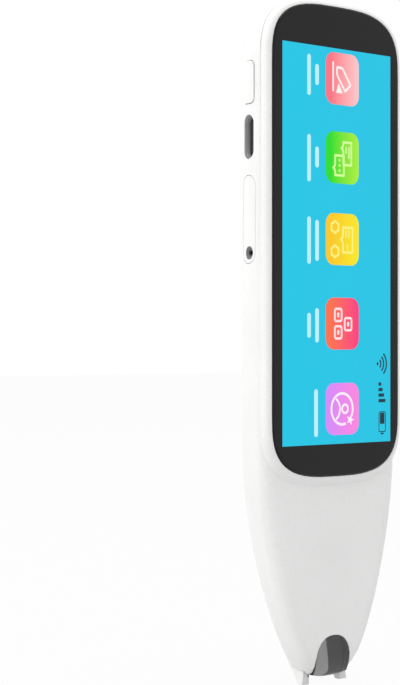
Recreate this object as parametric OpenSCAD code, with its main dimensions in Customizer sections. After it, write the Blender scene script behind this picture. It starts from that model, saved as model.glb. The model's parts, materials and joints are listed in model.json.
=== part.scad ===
// Handheld scanning translator: a slim pen-shaped reader with a tall touch display,
// a spring-loaded scanning tip, side button, USB-C port and card tray.
// Millimetres. Z runs up the length with the tip at Z = 0. The display faces -Y.
// Depths (d) count backwards from the front of the cover glass.

/* [Display] */
// Width of the cover glass
glass_w = 38.6; // [36.6:0.2:41]
// Height of the cover glass
glass_h = 99.4; // [94:0.2:106]
// Thickness of the cover glass
glass_t = 0.7; // [0.5:0.05:0.8]
// Height of the glass's arched ends
end_h = 13.7; // [12:0.1:15]
// Squareness of the arched ends
end_pow = 3.2; // [2.8:0.1:3.6]
// Dark border at the sides of the picture
side_border = 2.7; // [2.4:0.1:3.4]
// Dark border above the picture
top_border = 8.8; // [8:0.2:10]
// Dark border below the picture
low_border = 6.8; // [6.4:0.2:8]
// Thickness of the display panel
panel_t = 1.2; // [0.9:0.1:1.2]
// Depth of the display's backlight tray
tray_t = 1; // [0.7:0.1:1.1]

/* [Display surround] */
// Width of the surround beside the glass
side_rim = 1.6; // [1.5:0.1:1.9]
// Height of the surround above the glass
top_rim = 1.1; // [0.9:0.1:1.6]
// Radius of the surround's outer edge
rim_r = 1.4; // [1.1:0.1:1.4]
// Height of the surround below the glass, at its front
chin_rim = 1.35; // [1.1:0.05:1.6]
// How much further down the chin's slope reaches
chin_slope = 1.2; // [0.8:0.1:1.6]
// Depth of the surround's back
pod_back_d = 2.2; // [2:0.1:2.6]
// How far the surround stands out beyond the body's sides
side_step = 0.3; // [0.2:0.1:0.6]
// How far the surround stands above the body's top
top_step = 0.15; // [0.1:0.05:0.4]

/* [Body] */
// Height of the glass above the feet of the tip guard
glass_low = 44.1; // [42:0.1:49]
// Depth of the body, from the glass to the flat of the back
body_t = 12.3; // [12.2:0.1:13.6]
// Reach of the long corners along the back
corner_x = 10.6; // [9.6:0.1:11]
// Reach of the long corners along the sides
corner_d = 8.6; // [8:0.1:8.8]
// Squareness of the long corners
corner_pow = 2.5; // [2.3:0.1:2.8]
// Radius of the top edge, seen from the side
crown_r = 5; // [3:0.5:5.5]
// Wall of the rear housing
wall = 1.4; // [1.2:0.1:1.5]
// Depth of the seam between the front and rear housings
seam_d = 3.5; // [3.4:0.1:3.6]

/* [Nose] */
// How far above the glass's lower edge the taper starts
nose_over = 4.9; // [4:0.1:6]
// Depth of the flat front of the nose
nose_d = 1.2; // [1.1:0.05:1.3]
// Wall of the flat front of the nose
nose_wall = 1.1; // [0.9:0.1:1.2]
// Width of the soft edge round the front of the nose
edge_x = 4.6; // [3:0.2:5]
// Depth of that edge
edge_d = 2.2; // [1.6:0.1:2.4]
// Exponent of the taper, seen from the front
nose_pow = 1.7; // [1.6:0.05:1.9]
// How far the taper would run on below the feet
nose_run = 1.5; // [1.2:0.1:2.2]
// Depth of the back at the very tip
tip_t = 8.1; // [7.9:0.1:8.8]
// Exponent of the taper, seen from the side
back_pow = 1.7; // [1.5:0.05:2]
// Height of the housings' lowest edge above the guard's feet
shell_z = 2; // [1.7:0.1:2.3]
// How far the nose's front curves back at its foot
toe_d = 2.6; // [2.4:0.1:3]
// Height over which it does so
toe_h = 6; // [5:0.25:7]
// Radius of the foot's back edge
heel_r = 3; // [2.6:0.1:3.2]

/* [Side controls] */
// Depth of the middle of the button, port and card tray
side_d = 6.2; // [6.15:0.05:6.4]
// Distance of the power button below the top
button_drop = 18.3; // [17.5:0.1:19]
// Length of the power button
button_l = 8.8; // [7:0.2:9.2]
// Width of the power button
button_w = 3.9; // [3.2:0.1:4]
// Corner radius of the power button
button_r = 1.2; // [0.8:0.1:1.5]
// How far the power button travels
button_travel = 0.35; // [0.2:0.05:0.4]
// Distance of the USB-C port below the top
usb_drop = 29.6; // [29.2:0.1:30.4]
// Distance of the card tray below the top
card_drop = 46.7; // [46:0.1:47.4]
// Length of the card tray's cover
card_l = 18.2; // [17.4:0.2:18.8]
// Width of the card tray's cover
card_w = 4.4; // [3.8:0.1:4.4]
// Radius of the funnel round the ejector's pin hole
funnel_r = 1.4; // [1.1:0.05:1.6]
// Gap around the button, port and card tray's cover
side_gap = 0.12; // [0.08:0.02:0.18]

/* [Back] */
// Distance of the camera window below the top
window_drop = 10.1; // [9.9:0.1:11]
// Width of the camera window
window_w = 20.3; // [18:0.1:20.8]
// Height of the camera window
window_h = 9.8; // [8.8:0.1:10]
// How far the camera window's rim stands off the back
window_rise = 0.45; // [0.2:0.05:0.8]
// Distance of the loudspeaker below the top
speaker_drop = 23.7; // [23.4:0.1:25]
// Diameter of one sound hole
grille_hole = 0.7; // [0.5:0.05:0.9]
// Spacing of the sound holes
grille_pitch = 2.05; // [1.8:0.05:2.2]
// Height of the middle of the finger dimple
dimple_z = 30.6; // [29:0.2:33]
// Width of the finger dimple
dimple_w = 14.9; // [12:0.1:15.6]
// Height of the finger dimple
dimple_h = 7.8; // [7:0.1:9]

/* [Scanning tip] */
// Height of the notch in the rear housing
notch_h = 12.6; // [12.2:0.1:12.8]
// Width of the notch in the rear housing
notch_w = 12.8; // [12.4:0.1:13.4]
// Height at which the notch starts to flare
flare_z = 7.5; // [6:0.1:8]
// Radius of the notch's flared foot
flare_r = 40; // [34:1:48]
// Gap between the notch and the sides of the tip guard
guard_gap = 0.3; // [0.25:0.05:0.4]
// Wall of the tip guard
guard_wall = 1.4; // [1.1:0.1:1.6]
// How far the tip guard travels when the tip is pressed
guard_travel = 0.8; // [0.4:0.1:0.9]
// Width of the arched tip window
arch_w = 10.3; // [9.6:0.1:10.6]
// Height of the arched tip window's top
arch_h = 10.3; // [9.6:0.1:10.6]
// Height at which the arch springs
arch_spring = 4.8; // [4:0.2:6]
// Height of the tip window's lowest edge
window_low = 1.5; // [1.3:0.1:1.9]
// Coils of the tip spring
spring_turns = 6; // [4:1:8]

/* [Inside] */
// Depth of the middle frame's front
frame_d = 3; // [2.95:0.05:3]
// Thickness of the middle frame
frame_t = 0.6; // [0.5:0.1:0.6]
// Thickness of the main board
board_t = 0.8; // [0.7:0.05:0.8]
// Length of the main board
board_l = 52; // [51:0.2:53]
// Thickness of the battery
battery_t = 6; // [5:0.25:6.25]
// Radius of a screw boss
boss_r = 1.6; // [1.5:0.05:1.7]
// Radius of a screw's shank
screw_r = 0.6; // [0.5:0.05:0.7]

/* [Hidden] */

// Facets of true curves
$fn = 48;
// Steps round the front edge and the long corner of a body section
edge_steps = 4;
corner_steps = 12;
// Sections up the nose and up the rounded top
nose_steps = 14;
crown_steps = 8;
// Steps over half an arched end, round a corner, and down a flare
end_steps = 14;
outline_steps = 8;
flare_steps = 6;

// Joins that only touch, and cuts that run past a face
skim = 0.05;
past = 1;
// Fit between pieces that drop into one another
fit = 0.15;

// Cover glass, and the overall sizes that follow from it
glass_top = glass_low + glass_h;
low_spring = glass_low + end_h;
top_spring = glass_top - end_h;
body_l = glass_top + top_rim;
body_top = body_l - top_step;
top_end = body_top - top_spring;
pod_w = glass_w + 2 * side_rim;
body_w = pod_w - 2 * side_step;
nose_z = glass_low + nose_over;
window_d = body_t + window_rise;
inside_back_d = body_t - wall;
// Shift that puts the middle of the whole depth at Y = 0
front_y = -window_d / 2;

// Display stack, from the glass backwards
picture_w = glass_w - 2 * side_border;
picture_h = glass_h - top_border - low_border;
picture_z = glass_low + low_border + picture_h / 2;
panel_w = picture_w + 1.6;
panel_h = picture_h + 2.4;
panel_d = glass_t;
tray_d = panel_d + panel_t;
tray_edge = 0.3;
tray_w = panel_w + 2 * tray_edge;
tray_h = panel_h + 2 * tray_edge;
tray_r = 1.2;
bay_low = picture_z - tray_h / 2 - fit;

// Surround of the display
pod_front_d = 0.3;
chin_back_d = nose_d + 0.4;
chin_z = glass_low - chin_rim - chin_slope;

// Board and port
usb_w = 8.94;
usb_h = 3.26;
usb_sheet = 0.3;
usb_l = 7;
usb_tongue_t = 0.7;
usb_z = body_l - usb_drop;
board_d = side_d - usb_h / 2 - board_t;
board_back_d = board_d + board_t;
board_top = body_l - 6.2;
board_z = board_top - board_l;
board_w = body_w - 2 * wall - 4.8;
board_r = 5;
can_edge = 1.3;
can_h = 1.4;
sheet = 0.2;

// Screws and their bosses: [x, z]
boss_d = frame_d + frame_t;
boss_x = tray_w / 2 - 1.5;
screw_l = 5;
screw_head_r = 1.1;
boss_places = [for (s = [-1, 1]) each [
    [s * (boss_x - 2.4), board_top - 4.4],
    [s * boss_x, board_z - boss_r - 0.8],
    [s * boss_x, bay_low + fit + 2.2]
]];

// Display flex and battery
flex_t = 0.12;
flex_w = 10;
flex_z = bay_low + 9;
battery_d = boss_d + flex_t + skim;
battery_z = glass_low + 1.1;
battery_fold = 2.2;
battery_l = board_z - battery_z - battery_fold - 3;
battery_w = 2 * (boss_x - boss_r - 0.4);

// Long corner: its centre, and the wall's X at a depth
corner_mid_x = body_w / 2 - corner_x;
corner_mid_d = body_t - corner_d;
function arc_x(share) = pow(1 - pow(share, corner_pow), 1 / corner_pow);
function side_x(d, inset = 0) =
    corner_mid_x + (corner_x - inset) * arc_x(max(d - corner_mid_d, 0) / (corner_d - inset));

// Power button
button_z = body_l - button_drop;
button_stand = 0.25;
button_lip = 0.6;
button_flange_x = -side_x(side_d, wall) - 0.1;
button_back_x = button_flange_x + 0.8;
nub_r = 0.8;
nub_l = 0.4;
switch_gap = 0.1;

// Card tray, its socket and the ejector
card_z = body_l - card_drop;
blade_d = board_back_d + 0.5;
blade_t = 1.2;
blade_w = 13;
blade_z = card_z + 1.2;
bed_l = 13;
bed_edge = 1;
tray_end_x = -body_w / 2 + 16.5;
pin_z = card_z - card_l / 2 + 2.15;
pin_r = 0.55;
funnel_t = 0.7;
rod_r = 0.45;
rod_end_x = tray_end_x + 1.65;
rod_guide_r = 0.75;
lever_x = tray_end_x + 2.5;
lever_z = pin_z + 5.9;
lever_arm = 6;
lever_t = 0.8;
lever_w = 1.2;
lever_hub_r = 1.1;
lever_pin_r = 0.5;
running = 0.06;

// Camera and loudspeaker at the back
window_z = body_l - window_drop;
window_r = window_h / 2 - 0.8;
window_t = 1.05;
window_pocket = 1.2;
camera_hole_r = 3.2;
camera_r = 2.9;
camera_side = 8.5;
camera_t = 2.4;
camera_bore_r = 2.2;
camera_bore_d = window_d - 2.4;
speaker_z = body_l - speaker_drop;
ring_w = 8.5 * grille_pitch;
ring_h = 3.7 * grille_pitch;
speaker_edge = 0.8;
speaker_r = 2.5;
speaker_t = 3.9;
mesh_t = 0.3;
mic_x = -10.6;

// Scanning tip
notch_r = 3.6;
guard_half = notch_w / 2 - guard_gap;
guard_top = notch_h - guard_travel - 0.35;
guard_front_d = seam_d + 0.5;
foot_back_d = guard_front_d + 1.3;
stem_d = 7.1;
stem_r = 0.7;
stem_root_r = 1;
stem_bore_r = stem_r + running;
collar_r = 1.2;
collar_t = 0.8;
collar_z = guard_top + 3;
shelf_z = collar_z + 8;
shelf_t = 1.4;
shelf_half = 3;
wire_r = 0.15;
coil_r = 1;
stem_top = shelf_z + shelf_t + skim;
stem_head_r = 1.05;
stem_head_l = 0.8;
tip_switch_half = 1.2;
tip_switch_z = stem_top + stem_head_l + guard_travel + 0.1;
scan_board_d = nose_d + nose_wall + 0.2;
scan_board_t = 0.6;
scan_board_back = scan_board_d + scan_board_t;
barrel_r = 1.2;
barrel_l = 2.5;
lens_z = notch_h + 6.9;
lamp_z = notch_h + 2.6;
lamp_x = 4.4;
window_foot_r = 22;
window_toe_z = window_low - 0.5;
arch_pow = 2.3;

// ---- Forms shared by several pieces ----

// Moves a piece, drawn in depths, to its place about Y = 0
module in_frame() {
    translate([0, front_y, 0]) children();
}

// Extrudes an outline drawn in X and Z through a range of depths
module through_depth(d0, d1) {
    translate([0, d1, 0]) rotate([90, 0, 0]) linear_extrude(d1 - d0) children();
}

// Extrudes an outline drawn in depth and Z along X
module across(x0, x1) {
    translate([x0, 0, 0]) rotate([90, 0, 90]) linear_extrude(x1 - x0) children();
}

// Block between two corners
module block(low, high) {
    translate(low) cube(high - low);
}

// Slot with round ends: width across, length up
module pill(width, length) {
    square([width, length - width], center = true);
    for (s = [-1, 1]) translate([0, s * (length - width) / 2]) circle(d = width);
}

// Rectangle with round corners
module rounded(width, height, radius) {
    square([width, height - 2 * radius], center = true);
    square([width - 2 * radius, height], center = true);
    for (s = [-1, 1], t = [-1, 1])
        translate([s * (width / 2 - radius), t * (height / 2 - radius)]) circle(radius);
}

// Closed solid through rings of equal count, each turning anticlockwise about the way up
module skin(rings) {
    count = len(rings[0]);
    last = len(rings) - 1;
    points = [for (ring = rings) each ring];
    sides = [for (k = [0:last - 1], i = [0:count - 1])
        let (a = k * count + i, b = k * count + (i + 1) % count)
        each [[a, a + count, b + count], [a, b + count, b]]];
    caps = [[for (i = [0:count - 1]) i], [for (i = [count - 1:-1:0]) last * count + i]];
    polyhedron(points, concat(sides, caps), convexity = 6);
}

// Solid through outlines at falling depths: steps are [depth, outline]
module depth_skin(steps) {
    skin([for (s = steps) [for (p = s[1]) [p[0], s[0], p[1]]]]);
}

// Upright outline, anticlockwise, whose two ends arch from where the glass's own ends do
function arched(half, low, high) = [
    for (q = [0:3], i = [q % 2:end_steps])
        let (
            t = 90 * (q % 2 == 0 ? i : end_steps - i) / end_steps,
            x = half * pow(cos(t), 2 / end_pow),
            rise = pow(sin(t), 2 / end_pow)
        )
        [q == 0 || q == 3 ? x : -x,
         q < 2 ? top_spring + (high - top_spring) * rise : low_spring - (low_spring - low) * rise]
];

// Rounded outline about a height, anticlockwise, whose corners tighten like a superellipse
function outline(width, height, radius, power, mid_z) = [
    for (q = [0:3], i = [0:outline_steps])
        let (
            t = 90 * (q % 2 == 0 ? i : outline_steps - i) / outline_steps,
            x = width / 2 - radius * (1 - pow(cos(t), 2 / power)),
            z = height / 2 - radius * (1 - pow(sin(t), 2 / power))
        )
        [q == 0 || q == 3 ? x : -x, mid_z + (q < 2 ? z : -z)]
];

// How far a quarter circle falls back at a distance along it
function fall(radius, along) = radius - sqrt(pow(radius, 2) - pow(min(max(along, 0), radius), 2));

// Half width, front and back of the body at a height, drawn in by an inset all round
function nose_share(z, inset) =
    pow(1 - pow(min(1, (nose_z - z) / (nose_z + nose_run - inset)), nose_pow), 1 / nose_pow);
function top_share(z, inset) =
    pow(1 - pow(min(max((z - top_spring) / (top_end - inset), 0), 0.985), end_pow), 1 / end_pow);
function half_width(z, inset = 0) =
    (body_w / 2 - inset) * (z < nose_z ? nose_share(z, inset) : top_share(z, inset));
function front_at(z, inset = 0) = toe_d / toe_h * fall(toe_h - inset, shell_z + toe_h - z);
function taper(z) = (body_t - tip_t) * pow(max(0, nose_z - z) / nose_z, back_pow);
function back_at(z, inset = 0) =
    body_t - inset - taper(z)
    - fall(heel_r - inset, shell_z + heel_r - z) - fall(crown_r - inset, z - body_top + crown_r);

// One section of the body: soft front edge, side, long corner, back
function body_ring(z, inset, front_d) =
    let (
        a = half_width(z, inset),
        front = front_d + front_at(z, inset),
        back = back_at(z, inset),
        share = pow(half_width(z) / (body_w / 2), 0.85),
        cx = (corner_x - inset) * share,
        cd = min((corner_d - inset) * share, 0.85 * (back - front)),
        ex = (edge_x - inset) * share,
        ed = min(edge_d - front_d + nose_d, 0.98 * (back - front) - cd),
        half = concat(
            [for (i = [0:edge_steps]) let (t = 90 * i / edge_steps)
                [a - ex * (1 - sin(t)), front + ed * (1 - cos(t))]],
            [for (i = [0:corner_steps]) let (t = 90 * i / corner_steps)
                [a - cx * (1 - pow(cos(t), 2 / corner_pow)),
                 back - cd * (1 - pow(sin(t), 2 / corner_pow))]]
        )
    )
    concat(
        [for (p = half) [p[0], p[1], z]],
        [for (i = [len(half) - 1:-1:0]) [-half[i][0], half[i][1], z]]
    );

// Body form, or the hollow inside it
module body_form(inset, front_d, low, high) {
    skin([
        for (k = [0:nose_steps])
            body_ring(low + (nose_z - low) * pow(k / nose_steps, 1.6), inset, front_d),
        for (k = [0:crown_steps])
            body_ring(top_spring + (high - top_spring) * sin(90 * k / crown_steps), inset, front_d)
    ]);
}
module body_outside() {
    body_form(0, nose_d, shell_z, body_top);
}
module body_hollow() {
    body_form(wall, nose_d + nose_wall, shell_z + wall, body_top - wall);
}

// The side's own section, as a bar along Z for pieces that lie flush with it
module side_bar(inset) {
    linear_extrude(body_l) polygon(concat(
        [[0, 0], [inset - body_w / 2, 0]],
        [for (i = [0:corner_steps]) let (t = 90 * i / corner_steps)
            [-corner_mid_x - (corner_x - inset) * pow(cos(t), 2 / corner_pow),
             corner_mid_d + (corner_d - inset) * pow(sin(t), 2 / corner_pow)]],
        [[0, body_t - inset]]
    ));
}

// Arch with a flared foot: the notch in the housing and the guard that slides in it
module notch_arch(half, top, radius, foot, spread = 1) {
    flare = [for (i = [0:flare_steps]) let (z = foot + (flare_z - foot) * i / flare_steps)
        [half + spread * fall(flare_r, flare_z - z), z]];
    arc = [for (i = [0:outline_steps]) let (t = 90 * i / outline_steps)
        [half - radius + radius * cos(t), top - radius + radius * sin(t)]];
    right = concat(flare, arc);
    polygon(concat(right, [for (i = [len(right) - 1:-1:0]) [-right[i][0], right[i][1]]]));
}

// Arch of the tip window, from a flat foot
module window_arch(half, top, foot) {
    polygon(concat([[-half, foot], [half, foot]],
        [for (i = [0:2 * outline_steps])
            let (t = 90 * i / outline_steps, x = half * pow(abs(cos(t)), 2 / arch_pow))
            [t < 90 ? x : -x, arch_spring + (top - arch_spring) * pow(sin(t), 2 / arch_pow)]]
    ));
}

// ---- Housings ----

// Raised surround of the display, rounded towards the glass, with a sloping chin
module pod() {
    function pod_step(d) =
        let (
            e = fall(rim_r, rim_r - (d - pod_front_d)) / side_rim,
            slope = min(1, (d - pod_front_d) / (chin_back_d - pod_front_d))
        )
        [d, arched(pod_w / 2 - e * side_rim,
            glass_low - chin_slope * slope - chin_rim * (1 - e), body_l - e * top_rim)];
    depth_skin([
        pod_step(pod_back_d),
        for (t = [0:22.5:90]) pod_step(pod_front_d + rim_r * (1 - sin(t)))
    ]);
}

module front_housing() {
    color("white") in_frame() difference() {
        union() {
            intersection() {
                body_outside();
                block([-body_w, 0, 0], [body_w, seam_d, body_l + past]);
            }
            pod();
        }
        // Pocket for the glass, and the bay behind it for the display and middle frame
        through_depth(-past, glass_t)
            polygon(arched((glass_w + fit) / 2, glass_low - fit / 2, glass_top + fit / 2));
        through_depth(glass_t - skim, seam_d + past)
            translate([0, picture_z]) rounded(tray_w + 2 * fit, tray_h + 2 * fit, tray_r + fit);
        // Hollow of the nose, and the arch for the tip window
        intersection() {
            body_hollow();
            block([-body_w, 0, 0], [body_w, seam_d + past, chin_z]);
        }
        through_depth(0, seam_d + past) window_arch(arch_w / 2, arch_h, 0);
    }
}

// Depth at which a boss ends inside the back wall
function boss_end(x) =
    corner_mid_d + corner_d * arc_x(max(0, abs(x) + boss_r - corner_mid_x) / corner_x) - wall / 3;

// Places of the sound holes: two rounded rings about a middle row
function ring_place(s, length, width) =
    let (
        run = length - width,
        arc = PI * width / 2,
        u = s * 2 * (run + arc)
    )
    u < run ? [u - run / 2, width / 2]
    : u < run + arc ? let (t = 90 - 360 * (u - run) / (PI * width))
        [run / 2 + width / 2 * cos(t), width / 2 * sin(t)]
    : u < 2 * run + arc ? [run / 2 - (u - run - arc), -width / 2]
    : let (t = 270 - 360 * (u - 2 * run - arc) / (PI * width))
        [-run / 2 + width / 2 * cos(t), width / 2 * sin(t)];
sound_holes = concat(
    [for (i = [0:19]) ring_place(i / 20, ring_w, ring_h)],
    [for (i = [0:13]) ring_place(i / 14, ring_w - 2 * grille_pitch, ring_h / 2)],
    [for (i = [-2:2]) [i * grille_pitch, 0]]
);

// Raised rim round the camera window
module window_rim() {
    rim = 1.2;
    slope = 0.5;
    function rim_step(d, out) =
        [d, outline(window_w + 2 * out, window_h + 2 * out, window_r + out, 2.2, window_z)];
    depth_skin([
        rim_step(window_d, rim - slope / 2),
        rim_step(window_d - slope / 3, rim),
        rim_step(body_t - wall / 2, rim + slope)
    ]);
}

// Oval hollow for a fingertip: a spindle along X that dips into the back
module finger_dimple() {
    half_l = dimple_w / 2;
    half_h = dimple_h / 2;
    dip = 0.6;
    long_r = (half_l * half_l + dip * dip) / (2 * dip);
    round_r = (half_h * half_h + dip * dip) / (2 * dip);
    slope = atan((back_at(dimple_z + 1) - back_at(dimple_z - 1)) / 2);
    translate([0, back_at(dimple_z) - dip * cos(slope) + round_r, dimple_z])
        rotate([0, 90, 0]) rotate_extrude()
            polygon(concat([[0, -2 * half_l]],
                [for (i = [-8:8]) let (x = half_l * i / 4)
                    [sqrt(long_r * long_r - x * x) - long_r + round_r, x]],
                [[0, 2 * half_l]]));
}

module rear_housing() {
    color("white") in_frame() difference() {
        union() {
            difference() {
                intersection() {
                    body_outside();
                    block([-body_w, seam_d, 0], [body_w, window_d, body_l + past]);
                }
                body_hollow();
            }
            window_rim();
            for (p = boss_places)
                translate([p[0], boss_d, p[1]]) rotate([-90, 0, 0])
                    cylinder(r = boss_r, h = boss_end(p[0]) - boss_d);
            // Shelf that guides the tip guard's stem
            block([-shelf_half, stem_d - 1.3, shelf_z],
                [shelf_half, back_at(shelf_z) - wall / 2, shelf_z + shelf_t]);
        }
        for (p = boss_places)
            translate([p[0], boss_d - past, p[1]]) rotate([-90, 0, 0])
                cylinder(r = screw_r + skim, h = screw_l - frame_t + fit + past);
        translate([0, stem_d, shelf_z - past]) cylinder(r = stem_bore_r, h = shelf_t + 2 * past);
        // Openings in the side for the button, port and card tray
        across(-body_w, -body_w / 2 + 5) {
            translate([side_d, button_z])
                rounded(button_w + 2 * side_gap, button_l + 2 * side_gap, button_r + side_gap);
            translate([side_d, usb_z]) pill(usb_h + 2 * side_gap, usb_w + 2 * side_gap);
            translate([side_d, card_z]) pill(card_w + 2 * side_gap, card_l + 2 * side_gap);
        }
        // Camera window's pocket and the hole behind it, sound holes, microphone hole
        through_depth(window_d - window_pocket, window_d + past)
            translate([0, window_z]) rounded(window_w + fit, window_h + fit, window_r + fit / 2);
        through_depth(inside_back_d - past, window_d) translate([0, window_z]) circle(camera_hole_r);
        for (p = sound_holes)
            through_depth(inside_back_d - past, body_t + past)
                translate([p[0], speaker_z + p[1]]) circle(d = grille_hole, $fn = 16);
        translate([mic_x, board_back_d + 0.5, board_top]) cylinder(d = 0.7, h = 10, $fn = 16);
        finger_dimple();
        through_depth(seam_d - past, body_t + past)
            notch_arch(notch_w / 2, notch_h, notch_r, -past);
    }
}

// ---- Display ----

module display_glass() {
    color("black") in_frame() depth_skin([
        for (s = [[glass_t, 0], [0.3, 0], [0.08, 0.15], [0, 0.45]])
            [s[0], arched(glass_w / 2 - s[1], glass_low + s[1], glass_top - s[1])]
    ]);
}

module display_panel() {
    color("skyblue") in_frame() through_depth(panel_d, panel_d + panel_t)
        translate([0, picture_z]) rounded(panel_w, panel_h, tray_r - tray_edge);
}

// Pressed tray of the backlight, with punched windows in its floor
module backlight_tray() {
    color("silver") in_frame() difference() {
        through_depth(tray_d, tray_d + tray_t)
            translate([0, picture_z]) rounded(tray_w, tray_h, tray_r);
        through_depth(tray_d + tray_t - 0.3, tray_d + tray_t + past)
            for (k = [-1:1]) translate([0, picture_z + k * tray_h / 3.3])
                rounded(tray_w - 8, tray_h / 4.4, 2);
    }
}

// Flat cable from the panel's lower edge, through the middle frame, up to the board
module display_flex() {
    color("orange") in_frame() {
        block([-flex_w / 2, boss_d, flex_z], [flex_w / 2, boss_d + flex_t, board_z + 3]);
        block([-flex_w / 2, tray_d + tray_t, flex_z], [flex_w / 2, boss_d + flex_t, flex_z + flex_t]);
    }
}

// ---- Frame, board and battery ----

module middle_frame() {
    color("dimgray") in_frame() difference() {
        through_depth(frame_d, boss_d)
            translate([0, picture_z]) rounded(tray_w, tray_h, tray_r + 0.4);
        // Slot for the display flex, weight-saving windows, screw holes with countersinks
        block([-flex_w / 2 - 1, frame_d - past, flex_z - 1], [flex_w / 2 + 1, boss_d + past, flex_z + 1]);
        through_depth(frame_d - past, boss_d + past)
            for (s = [-1, 1], z = [board_z + 12, board_z + 30])
                translate([s * 8, z]) rounded(10, 12, 1.5);
        for (p = boss_places) translate([p[0], frame_d, p[1]]) rotate([-90, 0, 0]) {
            translate([0, 0, -past]) cylinder(r = screw_r + fit, h = frame_t + 2 * past);
            cylinder(r1 = screw_head_r + fit, r2 = screw_r + fit, h = frame_t * 0.7);
        }
    }
}

module frame_screws() {
    color("silver") in_frame() for (p = boss_places)
        translate([p[0], frame_d, p[1]]) rotate([-90, 0, 0]) difference() {
            union() {
                cylinder(r1 = screw_head_r, r2 = screw_r, h = frame_t * 0.7);
                cylinder(r = screw_r, h = screw_l);
            }
            for (a = [0, 90]) rotate(a)
                translate([-screw_r, -0.12, -past]) cube([2 * screw_r, 0.24, past + 0.25]);
        }
}

module main_board() {
    color("darkgreen") in_frame() difference() {
        through_depth(board_d, board_back_d)
            translate([0, (board_z + board_top) / 2]) rounded(board_w, board_l, board_r);
        for (p = boss_places) translate([p[0], board_d - past, p[1]]) rotate([-90, 0, 0])
            cylinder(r = boss_r + fit, h = board_t + 2 * past);
    }
}

// Drawn can soldered over a chip, measured back from the board's edge and up from its foot
module shield_can(width, foot, height) {
    color("silver") in_frame()
        translate([board_w / 2 - can_edge - width, board_back_d, board_z + foot]) difference() {
            cube([width, can_h, height]);
            translate([sheet, -past, sheet])
                cube([width - 2 * sheet, can_h - sheet + past, height - 2 * sheet]);
        }
}
module processor_shield() {
    shield_can(14, 5, 14);
}
module radio_shield() {
    shield_can(11.5, 22, 8);
}

// Pouch cell with a folded top edge
module battery() {
    fold_t = 0.8;
    fold_in = 2;
    mid_d = battery_d + battery_t / 2;
    color("lightgray") in_frame() {
        translate([0, mid_d, battery_z]) linear_extrude(battery_l)
            rotate(90) rounded(battery_t, battery_w, 1.2);
        block([-battery_w / 2 + fold_in, mid_d - fold_t / 2, battery_z + battery_l - skim],
            [battery_w / 2 - fold_in, mid_d + fold_t / 2, battery_z + battery_l + battery_fold]);
    }
}

module microphone() {
    color("gold") in_frame()
        block([mic_x - 1.4, board_back_d, board_top - 4], [mic_x + 1.4, board_back_d + 1, board_top - 1]);
}

// ---- Side controls ----

module power_button() {
    color("white") in_frame() {
        intersection() {
            across(-body_w / 2 - past, button_back_x)
                translate([side_d, button_z]) rounded(button_w, button_l, button_r);
            side_bar(-button_stand);
        }
        // Flange that keeps the button in, and the nub that meets the switch
        intersection() {
            across(button_flange_x, button_back_x) translate([side_d, button_z])
                rounded(button_w + 2 * button_lip, button_l + 2 * button_lip, button_r + button_lip);
            side_bar(wall + side_gap);
        }
        across(button_back_x - skim, button_back_x + nub_l)
            translate([side_d, button_z]) circle(nub_r);
    }
}

module power_switch() {
    plunger_x = button_back_x + nub_l + button_travel + switch_gap;
    plunger_l = 0.5;
    color("dimgray") in_frame() {
        block([plunger_x + plunger_l, board_back_d, button_z - 3],
            [plunger_x + plunger_l + 3, board_back_d + 3, button_z + 3]);
        across(plunger_x, plunger_x + plunger_l + skim)
            translate([side_d, button_z]) circle(nub_r - 0.1);
    }
}

// The port's mouth lies just inside the side where the side curves in most
usb_x = -side_x(side_d + usb_h / 2) + 0.1;
module usb_c_shell() {
    color("silver") in_frame() translate([0, side_d, usb_z]) difference() {
        across(usb_x, usb_x + usb_l) pill(usb_h, usb_w);
        across(usb_x - past, usb_x + usb_l - 1)
            pill(usb_h - 2 * usb_sheet, usb_w - 2 * usb_sheet);
    }
}

module usb_c_tongue() {
    color("black") in_frame() translate([0, side_d, usb_z])
        across(usb_x + 0.6, usb_x + usb_l - 1) rounded(usb_tongue_t, usb_w - 2.2, 0.3);
}

module card_tray() {
    cover_x = -side_x(side_d, wall) - 0.2;
    lip = 0.5;
    color("white") in_frame() difference() {
        union() {
            intersection() {
                across(-body_w / 2 - past, cover_x) translate([side_d, card_z]) pill(card_w, card_l);
                side_bar(0.02);
            }
            block([cover_x - skim, blade_d, blade_z - blade_w / 2],
                [tray_end_x, blade_d + blade_t, blade_z + blade_w / 2]);
        }
        // Card's bed, and the hole for the eject pin with its funnel
        block([tray_end_x - bed_l - bed_edge, blade_d - past, blade_z - blade_w / 2 + bed_edge],
            [tray_end_x - bed_edge, blade_d + blade_t - 0.4, blade_z + blade_w / 2 - bed_edge]);
        across(-body_w, cover_x + past) translate([side_d, pin_z]) circle(pin_r);
        translate([-side_x(side_d) - lip, side_d, pin_z]) rotate([0, 90, 0])
            cylinder(r1 = pin_r + (funnel_r - pin_r) * (funnel_t + lip) / funnel_t, r2 = pin_r,
                h = funnel_t + lip);
    }
}

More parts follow.
